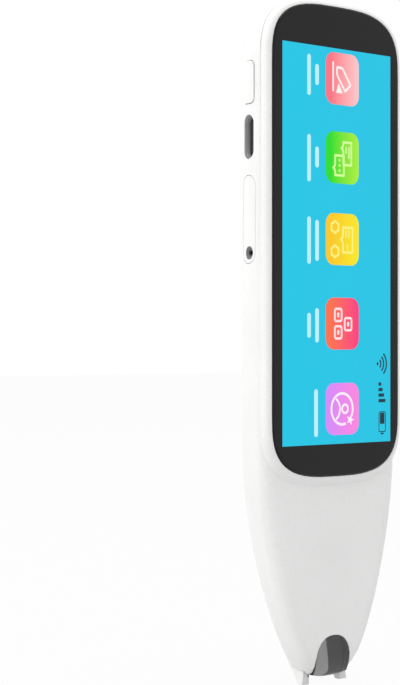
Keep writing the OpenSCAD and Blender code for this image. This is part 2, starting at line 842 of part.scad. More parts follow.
// Steel cage for the tray, with a base that carries the ejector
module card_socket() {
    x0 = -side_x(side_d, wall) + 0.4;
    cage_end_x = tray_end_x - 0.5;
    cage = fit + sheet;
    guide_t = 1;
    color("silver") in_frame() {
        difference() {
            block([x0, board_back_d, blade_z - blade_w / 2 - cage],
                [cage_end_x, blade_d + blade_t + cage, blade_z + blade_w / 2 + cage]);
            block([x0 - past, board_back_d + sheet, blade_z - blade_w / 2 - fit],
                [cage_end_x + past, blade_d + blade_t + fit, blade_z + blade_w / 2 + fit]);
        }
        block([cage_end_x - skim, board_back_d, pin_z - 2],
            [lever_x + 1.6, board_back_d + sheet, lever_z + lever_arm + 1]);
        block([x0, board_back_d, pin_z - 1], [tray_end_x, board_back_d + sheet, pin_z + 1]);
        translate([lever_x, board_back_d, lever_z]) rotate([-90, 0, 0])
            cylinder(r = lever_pin_r, h = side_d - board_back_d + 0.6);
        // Guides of the eject rod
        for (x = [x0 + 2, tray_end_x - 2]) difference() {
            block([x, board_back_d, pin_z - rod_guide_r],
                [x + guide_t, side_d + rod_guide_r, pin_z + rod_guide_r]);
            translate([x - past, side_d, pin_z]) rotate([0, 90, 0])
                cylinder(r = rod_r + running, h = guide_t + 2 * past);
        }
    }
}

module eject_rod() {
    rod_x = -side_x(side_d, wall) + 0.6;
    color("gray") in_frame() translate([rod_x, side_d, pin_z]) rotate([0, 90, 0])
        cylinder(r = rod_r, h = rod_end_x - rod_x);
}

module eject_lever() {
    color("gray") in_frame() translate([lever_x, side_d - lever_t / 2, lever_z])
        through_depth(0, lever_t) difference() {
            union() {
                square([lever_w, 2 * lever_arm], center = true);
                circle(lever_hub_r);
            }
            circle(lever_pin_r + running);
        }
}

// ---- Back ----

module rear_camera_window() {
    color("black") in_frame()
        through_depth(window_d - window_pocket + skim, window_d - window_pocket + skim + window_t)
            translate([0, window_z]) rounded(window_w, window_h, window_r);
}

module rear_camera_module() {
    body_d = inside_back_d - fit;
    color("dimgray") in_frame() difference() {
        union() {
            block([-camera_side / 2, body_d - camera_t, window_z - camera_side / 2],
                [camera_side / 2, body_d, window_z + camera_side / 2]);
            through_depth(body_d - skim, window_d - window_pocket - 0.1)
                translate([0, window_z]) circle(camera_r);
        }
        through_depth(camera_bore_d, window_d) translate([0, window_z]) circle(camera_bore_r);
    }
}

// Lens with a flat back and a domed front, facing up Z
module domed_lens(radius, rise, edge) {
    ball = (radius * radius + rise * rise) / (2 * rise);
    rotate_extrude() polygon(concat([[0, -edge]], [[radius, -edge]],
        [for (i = [0:outline_steps]) let (x = radius * (1 - i / outline_steps))
            [x, rise - ball + sqrt(ball * ball - x * x)]]));
}

module rear_camera_lens() {
    edge = 0.35;
    color("navy") in_frame() translate([0, camera_bore_d + skim + edge, window_z])
        rotate([-90, 0, 0]) domed_lens(camera_bore_r - 0.02, 0.3, edge);
}

module loudspeaker() {
    speaker_w = ring_w + 2 * speaker_edge;
    speaker_h = ring_h + 2 * speaker_edge;
    back_d = inside_back_d - mesh_t;
    lip = 0.7;
    color("dimgray") in_frame() difference() {
        through_depth(back_d - speaker_t, back_d)
            translate([0, speaker_z]) rounded(speaker_w, speaker_h, speaker_r);
        through_depth(back_d - lip, back_d + past)
            translate([0, speaker_z])
                rounded(speaker_w - 2 * lip, speaker_h - 2 * lip, speaker_r - lip);
    }
}

module speaker_mesh() {
    color("black") in_frame() through_depth(inside_back_d - mesh_t, inside_back_d)
        translate([0, speaker_z])
            rounded(ring_w + 2 * speaker_edge, ring_h + 2 * speaker_edge, speaker_r);
}

// ---- Scanning tip ----

module scanner_board() {
    color("darkgreen") in_frame() through_depth(scan_board_d, scan_board_back)
        translate([0, notch_h + 14.4]) rounded(13, 25, 1);
}

module scanner_camera() {
    block_t = 2.4;
    color("dimgray") in_frame() {
        block([-4, scan_board_back, lens_z + barrel_l], [4, scan_board_back + block_t, lens_z + 8]);
        translate([0, scan_board_back + barrel_r, lens_z]) difference() {
            cylinder(r = barrel_r, h = barrel_l + skim);
            translate([0, 0, -past]) cylinder(r = barrel_r - 0.3, h = past + 0.7);
        }
    }
}

module scanner_lens() {
    color("navy") in_frame() translate([0, scan_board_back + barrel_r, lens_z + 0.4])
        rotate([180, 0, 0]) domed_lens(barrel_r - 0.32, 0.25, 0.28);
}

module scanner_lamps() {
    lamp_half = 1;
    color("lightyellow") in_frame() for (s = [-1, 1])
        block([s * lamp_x - lamp_half, scan_board_back, lamp_z],
            [s * lamp_x + lamp_half, scan_board_back + 1.1, lamp_z + 2 * lamp_half]);
}

// Smoked window whose front curves back at its foot, as the nose does
module tip_window() {
    front = nose_d + 0.1;
    color("dimgray") in_frame() intersection() {
        through_depth(0, seam_d) intersection() {
            window_arch((arch_w - fit) / 2, arch_h - fit / 2, 0);
            translate([0, window_low + window_foot_r]) circle(window_foot_r, $fn = 96);
        }
        across(-arch_w, arch_w) polygon(concat(
            [for (i = [0:corner_steps]) let (t = 90 * i / corner_steps)
                [front + toe_d * (1 - sin(t)), window_toe_z + toe_h * (1 - cos(t))]],
            [[front, arch_h + past], [front + toe_d, arch_h + past]]
        ));
    }
}

// Sliding guard round the tip, its stem and the stem's collar and head
module tip_guard() {
    color("white") in_frame() {
        intersection() {
            through_depth(guard_front_d, body_t) difference() {
                notch_arch(guard_half, guard_top, notch_r - guard_gap, 0);
                notch_arch(guard_half - guard_wall, guard_top - guard_wall,
                    notch_r - guard_gap - guard_wall, -past, 0);
            }
            across(-body_w, body_w) polygon(concat(
                [[foot_back_d, 0], [guard_front_d, 0], [guard_front_d, guard_top + past]],
                [for (k = [0:10]) let (z = (guard_top + past) * (1 - k / 10) + (shell_z + 0.4) * k / 10)
                    [back_at(z) - 0.1, z]]
            ));
        }
        translate([0, stem_d, guard_top - skim])
            cylinder(r = stem_root_r, h = collar_z - guard_top + skim);
        translate([0, stem_d, collar_z - collar_t]) cylinder(r = collar_r, h = collar_t);
        translate([0, stem_d, collar_z - skim]) cylinder(r = stem_r, h = stem_top - collar_z + 2 * skim);
        translate([0, stem_d, stem_top]) cylinder(r = stem_head_r, h = stem_head_l);
    }
}

// Coil spring between the guard's collar and the shelf
module tip_spring() {
    sides = 6;
    steps = 12;
    flat = wire_r + 0.02;
    low = collar_z + flat;
    high = shelf_z - flat;
    total = spring_turns * steps;
    color("silver") in_frame() translate([0, stem_d, 0]) skin([
        for (k = [0:total])
            let (a = 360 * k / steps, z = low + (high - low) * k / total)
            [for (i = [0:sides - 1]) let (b = -360 * i / sides, r = coil_r + wire_r * cos(b))
                [r * cos(a), r * sin(a), z + wire_r * sin(b)]]
    ]);
}

module tip_switch() {
    plunger_l = 0.4;
    color("dimgray") in_frame() {
        block([-1.75, stem_d - tip_switch_half, tip_switch_z + plunger_l],
            [1.75, stem_d + tip_switch_half, tip_switch_z + plunger_l + 2.2]);
        translate([0, stem_d, tip_switch_z]) cylinder(r = 0.5, h = plunger_l + skim);
    }
}

// ---- Calls ----
front_housing();
rear_housing();
display_glass();
display_panel();
backlight_tray();
display_flex();
middle_frame();
main_board();
processor_shield();
radio_shield();
battery();
power_button();
power_switch();
usb_c_shell();
usb_c_tongue();
card_tray();
card_socket();
eject_rod();
eject_lever();
rear_camera_window();
rear_camera_module();
rear_camera_lens();
loudspeaker();
speaker_mesh();
microphone();
scanner_board();
scanner_camera();
scanner_lens();
scanner_lamps();
tip_window();
tip_guard();
tip_spring();
tip_switch();
frame_screws();
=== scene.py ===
# %% [markdown]
# # A handheld scanning translator
#
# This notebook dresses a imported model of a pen-shaped translator: a white moulded body, a tall
# touch display, a smoked window at the tip and a guard that presses in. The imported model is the
# fixed frame. It holds every piece at its real size, and nothing here moves or resizes it.

# %% Load the frame
import json
import math

import bmesh
import bpy
from mathutils import Matrix, Vector


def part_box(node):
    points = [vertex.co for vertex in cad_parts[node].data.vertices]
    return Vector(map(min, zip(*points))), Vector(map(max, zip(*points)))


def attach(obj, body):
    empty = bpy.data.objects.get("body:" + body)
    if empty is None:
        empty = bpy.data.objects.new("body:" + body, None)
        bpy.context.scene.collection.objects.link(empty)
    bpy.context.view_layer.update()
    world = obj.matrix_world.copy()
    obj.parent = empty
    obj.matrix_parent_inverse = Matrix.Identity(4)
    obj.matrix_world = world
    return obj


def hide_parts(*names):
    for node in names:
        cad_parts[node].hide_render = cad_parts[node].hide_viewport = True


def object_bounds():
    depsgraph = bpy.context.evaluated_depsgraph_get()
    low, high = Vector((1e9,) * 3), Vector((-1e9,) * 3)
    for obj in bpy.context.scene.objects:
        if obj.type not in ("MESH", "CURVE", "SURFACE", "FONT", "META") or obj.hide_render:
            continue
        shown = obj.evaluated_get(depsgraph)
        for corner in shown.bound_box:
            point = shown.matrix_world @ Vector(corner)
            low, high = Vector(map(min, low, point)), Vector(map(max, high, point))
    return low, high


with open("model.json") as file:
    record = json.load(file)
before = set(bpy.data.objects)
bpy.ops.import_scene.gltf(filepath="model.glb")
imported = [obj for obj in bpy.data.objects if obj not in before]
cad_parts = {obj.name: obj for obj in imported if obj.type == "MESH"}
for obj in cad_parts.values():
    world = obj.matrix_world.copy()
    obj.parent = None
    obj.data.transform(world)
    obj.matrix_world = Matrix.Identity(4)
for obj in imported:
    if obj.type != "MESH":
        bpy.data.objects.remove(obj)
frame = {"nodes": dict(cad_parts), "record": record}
nodes = frame["nodes"]
body_of = {n: b for b, names in frame["record"]["behaviour"]["bodies"].items() for n in names}
cad_low, cad_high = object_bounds()
print("CAD box in mm:", [round(v * 1000, 2) for v in cad_high - cad_low])

# %% [markdown]
# Blender works in metres and this object is a hand's length, so all sizes below are written in
# millimetres and multiplied by MM once. Depth is counted backwards from the cover glass, as a
# product designer would count it, and one function turns it into the frame's Y.

# %% Units and depths
MM = 0.001
GLASS_LOW, GLASS_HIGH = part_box("display_glass")
GLASS_MID_Z = (GLASS_LOW.z + GLASS_HIGH.z) / 2


def y_at(depth):
    """Y in metres of a depth in millimetres behind the front of the glass."""
    return GLASS_LOW.y + depth * MM


print("middle of the glass at", round(GLASS_MID_Z / MM, 2), "mm")

# %% [markdown]
# The camera stands level with the middle of the object, ahead and to its button side, and looks
# across it at about 42 degrees. Its distance and focal length were worked out from the outline of
# the cover glass: the far edge is a little shorter than the near one.

# %% Camera
VIEW_TURN = math.radians(42.43)
VIEW_DISTANCE = 399.9 * MM
VIEW_ASIDE = 29.24 * MM
VIEW_BELOW = 21.4 * MM
FRAME_HEIGHT = 685
FOCAL_PIXELS = 1886.7
SENSOR = 36.0

forward = Vector((math.sin(VIEW_TURN), math.cos(VIEW_TURN), 0))
rightward = Vector((math.cos(VIEW_TURN), -math.sin(VIEW_TURN), 0))
camera_data = bpy.data.cameras.new("camera")
camera_data.sensor_fit = "VERTICAL"
camera_data.sensor_height = SENSOR
camera_data.lens = FOCAL_PIXELS / FRAME_HEIGHT * SENSOR
camera_data.clip_start = 0.01
camera = bpy.data.objects.new("camera", camera_data)
camera.location = (
    Vector((0, GLASS_LOW.y, GLASS_MID_Z))
    - VIEW_ASIDE * rightward
    - VIEW_DISTANCE * forward
    - Vector((0, 0, VIEW_BELOW))
)
camera.rotation_euler = (math.pi / 2, 0, -VIEW_TURN)
bpy.context.scene.collection.objects.link(camera)
bpy.context.scene.camera = camera
print("lens", round(camera_data.lens, 1), "mm")

# %% [markdown]
# Every colour is written as an sRGB hex value, as a painter or a plastics maker gives it, and
# shaders want linear light, so one function does the change. A second small function adds a node
# with its settings and links, which keeps each material a short list of what it is made of.

# %% Colour and node helpers
def linear(hex_colour):
    """An sRGB hex colour as linear RGBA."""
    parts = [int(hex_colour[i:i + 2], 16) / 255 for i in (1, 3, 5)]
    return [p / 12.92 if p <= 0.04045 else ((p + 0.055) / 1.055) ** 2.4 for p in parts] + [1.0]


def add_node(tree, kind, settings=None, **links):
    """Adds a node. A setting names a property or an input; a link is an input fed by a socket."""
    node = tree.nodes.new(kind)
    for name, value in (settings or {}).items():
        if hasattr(node, name):
            setattr(node, name, value)
        else:
            node.inputs[name].default_value = value
    for name, socket in links.items():
        tree.links.new(socket, node.inputs[name.replace("_", " ")])
    return node


def new_material(name):
    """An empty material with a Principled shader on its output."""
    material = bpy.data.materials.new(name)
    material.use_nodes = True
    tree = material.node_tree
    tree.nodes.clear()
    shader = add_node(tree, "ShaderNodeBsdfPrincipled")
    add_node(tree, "ShaderNodeOutputMaterial", Surface=shader.outputs[0])
    return material, tree, shader


# %% [markdown]
# Every new mesh becomes a piece in the same few steps: the working mesh is written out, given its
# material and put in the scene at the origin, unturned and unscaled.

# %% Making a piece
def make_object(name, mesh, material):
    """An object from a working mesh, which is freed."""
    data = bpy.data.meshes.new(name)
    mesh.to_mesh(data)
    mesh.free()
    data.materials.append(material)
    piece = bpy.data.objects.new(name, data)
    bpy.context.scene.collection.objects.link(piece)
    return piece


def thicken(piece, thickness):
    """Gives a flat sheet a thickness in mm, behind its face."""
    solid = piece.modifiers.new("thickness", "SOLIDIFY")
    solid.thickness = thickness * MM
    solid.offset = -1.0


# %% [markdown]
# ## Finishes
#
# Most of these surfaces are moulded, cast, pressed or drawn, and the eye tells them apart by three
# things that follow one grain: a slight change of colour, a change of gloss and a fine relief. So
# one function makes such a surface from real sizes, and each finish below is a line of it. A broad
# grain, forty times the fine one, keeps a large face from looking even. A grain finer than the
# picture can show is drawn as coarse as it needs to show.

# %% A grained surface
BROAD_GRAIN = 40


def grained(name, colours, grain, relief, gloss, stretch=(1, 1, 1), **numbers):
    """Two colours, a grain size and relief in mm, and the range of roughness that follows them."""
    material, tree, shader = new_material(name)
    for number, value in numbers.items():
        shader.inputs[number.replace("_", " ")].default_value = value
    place = add_node(tree, "ShaderNodeTexCoord")
    laid = add_node(tree, "ShaderNodeMapping", {"Scale": stretch}, Vector=place.outputs["Object"])
    fine = add_node(tree, "ShaderNodeTexNoise", {"Scale": 1 / (grain * MM), "Detail": 3.0},
                    Vector=laid.outputs[0])
    broad = add_node(tree, "ShaderNodeTexNoise",
                     {"Scale": 1 / (grain * BROAD_GRAIN * MM), "Detail": 2.0},
                     Vector=laid.outputs[0])
    both = add_node(tree, "ShaderNodeMath", {"operation": "MULTIPLY"})
    tree.links.new(fine.outputs["Fac"], both.inputs[0])
    tree.links.new(broad.outputs["Fac"], both.inputs[1])
    tint = add_node(tree, "ShaderNodeValToRGB", Fac=both.outputs[0])
    for stop, position, colour in zip(tint.color_ramp.elements, (0.12, 0.42), colours):
        stop.position = position
        stop.color = linear(colour)
    sheen = add_node(tree, "ShaderNodeMapRange", {"From Min": 0.3, "From Max": 0.7,
                                                 "To Min": gloss[0], "To Max": gloss[1]},
                     Value=fine.outputs["Fac"])
    raised = add_node(tree, "ShaderNodeBump", {"Distance": relief * MM, "Strength": 1.0},
                      Height=fine.outputs["Fac"])
    tree.links.new(tint.outputs["Color"], shader.inputs["Base Color"])
    tree.links.new(sheen.outputs[0], shader.inputs["Roughness"])
    tree.links.new(raised.outputs["Normal"], shader.inputs["Normal"])
    return material


# %% [markdown]
# The body, the button, the tray cover and the tip guard are white ABS from a spark-eroded mould. It
# gives a satin face with a very fine, even grain: broad soft highlights, no mirror image. The black
# plastics inside are the same process in a darker pellet, and rougher.

# %% Moulded plastics
satin_abs = grained("satin_moulded_abs", ("#EDEDEC", "#F3F3F2"), 0.5, 0.0012, (0.36, 0.46), IOR=1.53)
# The same black finish also stands for painted shade deep in the port.
black_plastic_and_shade = grained("black_plastic_and_painted_shade", ("#141414", "#1E1E1E"), 0.3, 0.001, (0.45, 0.62),
                    IOR=1.5)
print("plastics:", satin_abs.name, black_plastic_and_shade.name)

# %% [markdown]
# Three second finishes go on parts of a moulding or shell. Narrow places that little light reaches are
# drawn in a grey darker than the plastic itself, as painted shade, or their shadow would be lost at
# this size. The mouth of the port is drawn pale as painted light, and the inside of the tip guard's
# arch is drawn matt dark grey as painted shade.

# %% Second finishes
# painted shade: a darker grey for narrow places that lie in shade
painted_shade_abs = grained("darker_grey_painted_shade", ("#6C6C6D", "#7E7E7F"), 0.3, 0.002, (0.45, 0.6),
                     IOR=1.53)
# painted light: the port's mouth drawn pale where light gets in
port_mouth_painted_light = grained("pale_painted_light_port_mouth", ("#C4C4C6", "#D6D6D8"), 0.3, 0.001, (0.5, 0.65),
                      Metallic=0.1)
# painted shade: the dark grey inside the tip guard's arch
arch_painted_shade = grained("matt_grey_painted_arch_shade", ("#343434", "#3A3A3A"), 1.5, 0.0005, (0.7, 0.85), IOR=1.5)
print("second finishes:", painted_shade_abs.name, port_mouth_painted_light.name, arch_painted_shade.name)

# %% [markdown]
# The metals. A drawn USB-C shell has fine lines along the way it was drawn (here along X), pressed
# cans are tinned and slightly cloudy, the die-cast frame is blasted and even, springs and pins are
# bright wire, the microphone can is gold plated, and the battery's pouch is foil laminated between
# films, which gives it a soft crinkle.

# %% Metals
drawn_steel = grained("drawn_nickelled_steel", ("#7E7F82", "#9A9B9E"), 0.12, 0.0004, (0.5, 0.62),
                      stretch=(0.08, 1, 1), Metallic=0.7)
tinned_steel = grained("tinned_pressed_steel", ("#A9ABAE", "#D2D3D6"), 0.8, 0.0015, (0.25, 0.42),
                       Metallic=1.0)
blasted_casting = grained("blasted_die_casting", ("#7E8083", "#A6A8AB"), 0.25, 0.006, (0.5, 0.65),
                          Metallic=1.0)
bright_wire = grained("bright_drawn_wire", ("#9B9DA0", "#D9DADC"), 0.15, 0.0006, (0.18, 0.3),
                      stretch=(1, 1, 0.15), Metallic=1.0)
gold_plate = grained("gold_plating", ("#B98E3C", "#E8C878"), 0.2, 0.0004, (0.2, 0.32), Metallic=1.0)
pouch_foil = grained("laminated_pouch_foil", ("#9FA1A5", "#C9CACD"), 1.2, 0.02, (0.3, 0.48),
                     Metallic=1.0)
print("metals:", [metal.name for metal in (drawn_steel, tinned_steel, blasted_casting, bright_wire,
                                          gold_plate, pouch_foil)])

# %% [markdown]
# A circuit board is green solder mask over copper tracks. The tracks are the joints of a brick
# pattern, turned to face the display, with a little relief where they run under the mask. The flat
# cable is amber polyimide with the same pattern at half the spacing.

# %% Boards and cable
BRICK_ROWS_IN_UNIT = 4


def tracked(name, mask, copper, spacing, lift):
    """Solder mask or film over copper tracks at a spacing in mm."""
    material, tree, shader = new_material(name)
    place = add_node(tree, "ShaderNodeTexCoord")
    upright = add_node(tree, "ShaderNodeMapping", {"Rotation": (math.pi / 2, 0, 0)},
                       Vector=place.outputs["Object"])
    tracks = add_node(tree, "ShaderNodeTexBrick",
                      {"Scale": 1 / (spacing * BRICK_ROWS_IN_UNIT * MM), "Mortar Size": 0.03,
                       "Color1": linear(mask), "Color2": linear(mask), "Mortar": linear(copper)},
                      Vector=upright.outputs[0])
    raised = add_node(tree, "ShaderNodeBump", {"Distance": lift * MM, "Strength": 1.0},
                      Height=tracks.outputs["Fac"])
    tree.links.new(tracks.outputs["Color"], shader.inputs["Base Color"])
    tree.links.new(raised.outputs["Normal"], shader.inputs["Normal"])
    shader.inputs["Roughness"].default_value = 0.35
    return material


solder_mask = tracked("green_solder_mask", "#0E5A32", "#2C8A50", 1.0, 0.02)
polyimide = tracked("polyimide_film", "#A5631A", "#C98430", 0.5, 0.01)
print("tracked surfaces:", solder_mask.name, polyimide.name)

# %% [markdown]
# Glass. The cover glass is printed black on its back and has an anti-reflection coat on its front, so
# it shows the surround only faintly: a low specular level over black. The lenses are coated too, and
# the coat gives a violet tint. The camera window is printed black without that coat. The tip window
# is smoked polycarbonate, which lets about a fifth of the light through, and the scanner's lamps
# have a milky moulded dome.

# %% Glass and smoked plastic
printed_glass = grained("black_printed_cover_glass", ("#060607", "#0A0A0B"), 6.0, 0.00005,
                        (0.04, 0.07), IOR=1.5, Specular_IOR_Level=0.24)
coated_lens = grained("coated_lens_glass", ("#0A0B14", "#151A33"), 0.6, 0.0001, (0.03, 0.05),
                      IOR=1.6, Coat_Weight=0.6, Coat_Tint=linear("#9C8CFF"))
camera_glass = grained("black_camera_window", ("#0B0B0C", "#111113"), 4.0, 0.00005, (0.04, 0.08),
                       IOR=1.5)
smoked = grained("smoked_polycarbonate", ("#7A7A7A", "#808080"), 2.0, 0.0003, (0.04, 0.08),
                 IOR=1.58, Transmission_Weight=1.0)
lamp_dome = grained("white_diode_lens", ("#E9E4C8", "#F7F4E4"), 0.4, 0.002, (0.2, 0.3), IOR=1.5)
print("glass:", [glass.name for glass in (printed_glass, coated_lens, camera_glass, smoked, lamp_dome)])

# %% [markdown]
# The dust mesh over the loudspeaker is a plain weave of black polyester, threads 0.25 mm apart. Two
# wave patterns, one across and one up, are multiplied: high where threads cross, low in the gaps.
# The wave pattern has about 3.2 waves in a unit at scale 1, so the scale is divided by that.

# %% Woven mesh
THREAD_SPACING, WAVES_IN_UNIT = 0.25, 3.2
wave_scale = 1 / (THREAD_SPACING * WAVES_IN_UNIT * MM)
dust_mesh, tree, shader = new_material("woven_dust_mesh")
place = add_node(tree, "ShaderNodeTexCoord")
across = add_node(tree, "ShaderNodeTexWave", {"bands_direction": "X", "Scale": wave_scale},
                  Vector=place.outputs["Object"])
upward = add_node(tree, "ShaderNodeTexWave", {"bands_direction": "Z", "Scale": wave_scale},
                  Vector=place.outputs["Object"])
weave = add_node(tree, "ShaderNodeMath", {"operation": "MULTIPLY"})
tree.links.new(across.outputs["Fac"], weave.inputs[0])
tree.links.new(upward.outputs["Fac"], weave.inputs[1])
tint = add_node(tree, "ShaderNodeValToRGB", Fac=weave.outputs[0])
tint.color_ramp.elements[0].color = linear("#2A2A2B")
tint.color_ramp.elements[1].color = linear("#6B6B6D")
raised = add_node(tree, "ShaderNodeBump", {"Distance": 0.05 * MM, "Strength": 1.0},
                  Height=weave.outputs[0])
tree.links.new(tint.outputs["Color"], shader.inputs["Base Color"])
tree.links.new(raised.outputs["Normal"], shader.inputs["Normal"])
shader.inputs["Roughness"].default_value = 0.7
print("weave:", THREAD_SPACING, "mm")

# %% [markdown]
# ## Dressing the frame
#
# Every piece of the frame gets its finish here. A piece's slot name in the record says what it is
# made of, so one table from slot to finish covers the whole assembly.

# %% Finishes of the frame's pieces
finish_of_slot = {
    "white_shell": satin_abs, "cover_glass": printed_glass, "lit_panel": printed_glass,
    "pressed_steel": tinned_steel, "flex": polyimide, "chassis": blasted_casting,
    "circuit_board": solder_mask, "pouch_cell": pouch_foil, "black_plastic": black_plastic_and_shade,
    "port_steel": drawn_steel, "lens": coated_lens, "mesh_cloth": dust_mesh, "lamp": lamp_dome,
    "smoked_window": smoked, "spring_steel": bright_wire, "gold_can": gold_plate,
}
slot_of = {part["node"]: part["material_slot"] for part in frame["record"]["subparts"]}
finish_of = {node: finish_of_slot[slot] for node, slot in slot_of.items()}
finish_of["rear_camera_window"] = camera_glass
for node, piece in nodes.items():
    piece.data.materials.clear()
    piece.data.materials.append(finish_of[node])
print(len(nodes), "pieces have a finish")

# %% [markdown]
# The frame's meshes are triangles that share no corners, so a curve shows its facets. Where a curved
# moulding is seen, a copy takes its place: corners merged, flat faces joined, shaded smooth except
# across sharp edges. Normals are then weighted by area, so that a flat face stays flat up to its
# rounded edge.

# %% Smooth copies
def smooth_copy(node, sharp_from=32):
    """A merged and smoothly shaded copy of a piece, which stands for it."""
    mesh = bmesh.new()
    mesh.from_mesh(nodes[node].data)
    bmesh.ops.remove_doubles(mesh, verts=mesh.verts, dist=0.0004 * MM)
    bmesh.ops.dissolve_limit(mesh, angle_limit=math.radians(0.3), verts=mesh.verts, edges=mesh.edges)
    piece = make_object(node + "_smooth", mesh, finish_of[node])
    piece.data.shade_smooth()
    piece.data.set_sharp_from_angle(angle=math.radians(sharp_from))
    even = piece.modifiers.new("even_shading", "WEIGHTED_NORMAL")
    even.keep_sharp = True
    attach(piece, body_of[node])
    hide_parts(node)
    return piece


SMOOTHED = ("front_housing", "rear_housing", "power_button", "card_tray", "tip_guard", "tip_window",
            "usb_c_shell", "usb_c_tongue", "rear_camera_window", "display_glass", "tip_spring")
smooth = {node: smooth_copy(node, 60 if node == "display_glass" else 32) for node in SMOOTHED}
for node, piece in smooth.items():
    print(node, len(piece.data.polygons), "faces")

# %% [markdown]
# A moulded button has no knife edge: the mould leaves a small round where it meets its gap, and that
# round is what draws the line round the button. A Bevel modifier, limited to the sharp edges, adds
# it, before the normals are weighted. The tray's cover has a finer round of the same kind.

# %% Rounded edges
def round_edges(node, width, segments=3):
    """Rounds a copy's sharp edges by a width in mm, ahead of its weighted normals."""
    edge = smooth[node].modifiers.new("rounded_edges", "BEVEL")
    edge.width = width * MM
    edge.segments = segments
    edge.limit_method = "ANGLE"
    edge.angle_limit = math.radians(50)
    edge.harden_normals = False
    smooth[node].modifiers.move(1, 0)


round_edges("power_button", 0.28)
round_edges("card_tray", 0.1)
print("rounded:", [node for node in SMOOTHED if "rounded_edges" in smooth[node].modifiers])

# %% [markdown]
# Some mouldings carry a second finish on a few of their faces. The faces are found by a test of where
# they are and which way they look. Where a finish stops in the middle of a face, the copy is first
# cut along that line.

# %% Painting and cutting faces
def paint_faces(piece, material, chosen):
    """Gives a second finish to the faces that a test of middle and normal chooses."""
    piece.data.materials.append(material)
    count = 0
    for face in piece.data.polygons:
        if chosen(face.center, face.normal):
            face.material_index = len(piece.data.materials) - 1
            count += 1
    return count


def cut_faces(piece, point, normal):
    """Cuts a piece's faces along a plane through a point in mm."""
    mesh = bmesh.new()
    mesh.from_mesh(piece.data)
    bmesh.ops.bisect_plane(mesh, geom=mesh.verts[:] + mesh.edges[:] + mesh.faces[:],
                           plane_co=Vector(point) * MM, plane_no=normal, dist=0.0001 * MM)
    mesh.to_mesh(piece.data)
    mesh.free()


# %% [markdown]
# The inside of the tip guard's arch is drawn matt dark grey as painted shade, the shade that lies
# inside the arch behind the window. The painted shade stops above its feet, and on its front face it
# covers only what lies behind the window. The window's edge faces are given the black plastic finish,
# which draws its edge dark.

# %% Painted arch shade and dark window edge
PAINT_FROM, PAINT_REACH, PAINT_BACK = 1.5, 5.1, 9.6
ARCH_CROWN = 8
SIDEWAYS, DOWNWARD, AHEAD = 0.3, -0.3, -0.5


def in_arch(middle, normal):
    """True for the faces that look into the guard's arch or at the window, above the feet."""
    to_middle = normal.x * middle.x < -SIDEWAYS * abs(middle.x)
    under_crown = normal.z < DOWNWARD and middle.z > ARCH_CROWN * MM
    ahead = normal.y < AHEAD and abs(middle.x) < PAINT_REACH * MM
    inside = middle.z > PAINT_FROM * MM and middle.y < y_at(PAINT_BACK)
    return inside and (ahead or to_middle or under_crown)


def on_window_edge(middle, normal):
    """True for the window's edge, but not for the part of it that looks down at the print."""
    return abs(normal.y) < 0.5 and normal.z > DOWNWARD


cut_faces(smooth["tip_guard"], (0, 0, PAINT_FROM), (0, 0, 1))
for side in (-PAINT_REACH, PAINT_REACH):
    cut_faces(smooth["tip_guard"], (side, 0, 0), (1, 0, 0))
# painted shade on the faces inside the arch
print("painted faces:", paint_faces(smooth["tip_guard"], arch_painted_shade, in_arch))
# the window's edge faces drawn black
print("dark_edged faces:", paint_faces(smooth["tip_window"], black_plastic_and_shade, on_window_edge))

# %% [markdown]
# A funnel in the tray's cover leads the eject tool to its hole. Funnel and hole lie round the axis of
# the eject rod, so their faces are found by how far they are from it. They are drawn in the darker grey
# as painted shade, the shade that lies inside the funnel and hole.

# %% Eject funnel
FUNNEL_REACH, FUNNEL_FROM = 1.45, -17
pin_low, pin_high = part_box("eject_rod")
pin_middle = (pin_low + pin_high) / 2


def in_funnel(middle, normal):
    """True for the faces of the funnel and hole that the eject tool goes into."""
    off_axis = math.hypot(middle.y - pin_middle.y, middle.z - pin_middle.z)
    return off_axis < FUNNEL_REACH * MM and abs(normal.x) < 0.97 and middle.x < FUNNEL_FROM * MM


# painted shade on the funnel and hole
print("funnel faces:", paint_faces(smooth["card_tray"], painted_shade_abs, in_funnel))

# %% [markdown]
# The inner wall of the USB-C shell is drawn pale at its mouth, as painted light, and from 1.3 mm in so
# little light reaches it that it is drawn nearly black, as painted shade in the black plastic finish.

# %% Port mouth and depth
PORT_LIT = 1.3
port_low, port_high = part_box("usb_c_shell")
port_middle = (port_low + port_high) / 2


def in_port(middle, normal):
    """True for the inner wall of the port's drawn shell."""
    away = Vector((0, middle.y - port_middle.y, middle.z - port_middle.z))
    return abs(normal.x) < 0.5 and away.dot(normal) < 0


def deep_in_port(middle, normal):
    """True for the part of that wall that light hardly reaches."""
    return in_port(middle, normal) and middle.x > port_low.x + PORT_LIT * MM


cut_faces(smooth["usb_c_shell"], (port_low.x / MM + PORT_LIT, 0, 0), (1, 0, 0))
# painted light: the pale mouth of the port's inner wall
print("port faces:", paint_faces(smooth["usb_c_shell"], port_mouth_painted_light, in_port))
# painted shade: the deep part of the wall drawn black
print("deep port faces:", paint_faces(smooth["usb_c_shell"], black_plastic_and_shade, deep_in_port))

# %% [markdown]
# The power button stands in a hole with a narrow gap all round. The walls of the hole are drawn in the
# darker grey, because the gap's own shadow is thinner than the picture can show.

# %% Button gap
GAP_ROOM = 0.5
button_low, button_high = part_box("power_button")


def in_gap(middle, normal):
    """True for the walls of the hole that the button stands in."""
    room = GAP_ROOM * MM
    return (abs(normal.x) < 0.5 and middle.x < button_high.x
            and button_low.y - room < middle.y < button_high.y + room
            and button_low.z - room < middle.z < button_high.z + room)


for node in ("front_housing", "rear_housing"):
    print("gap faces:", node, paint_faces(smooth[node], painted_shade_abs, in_gap))

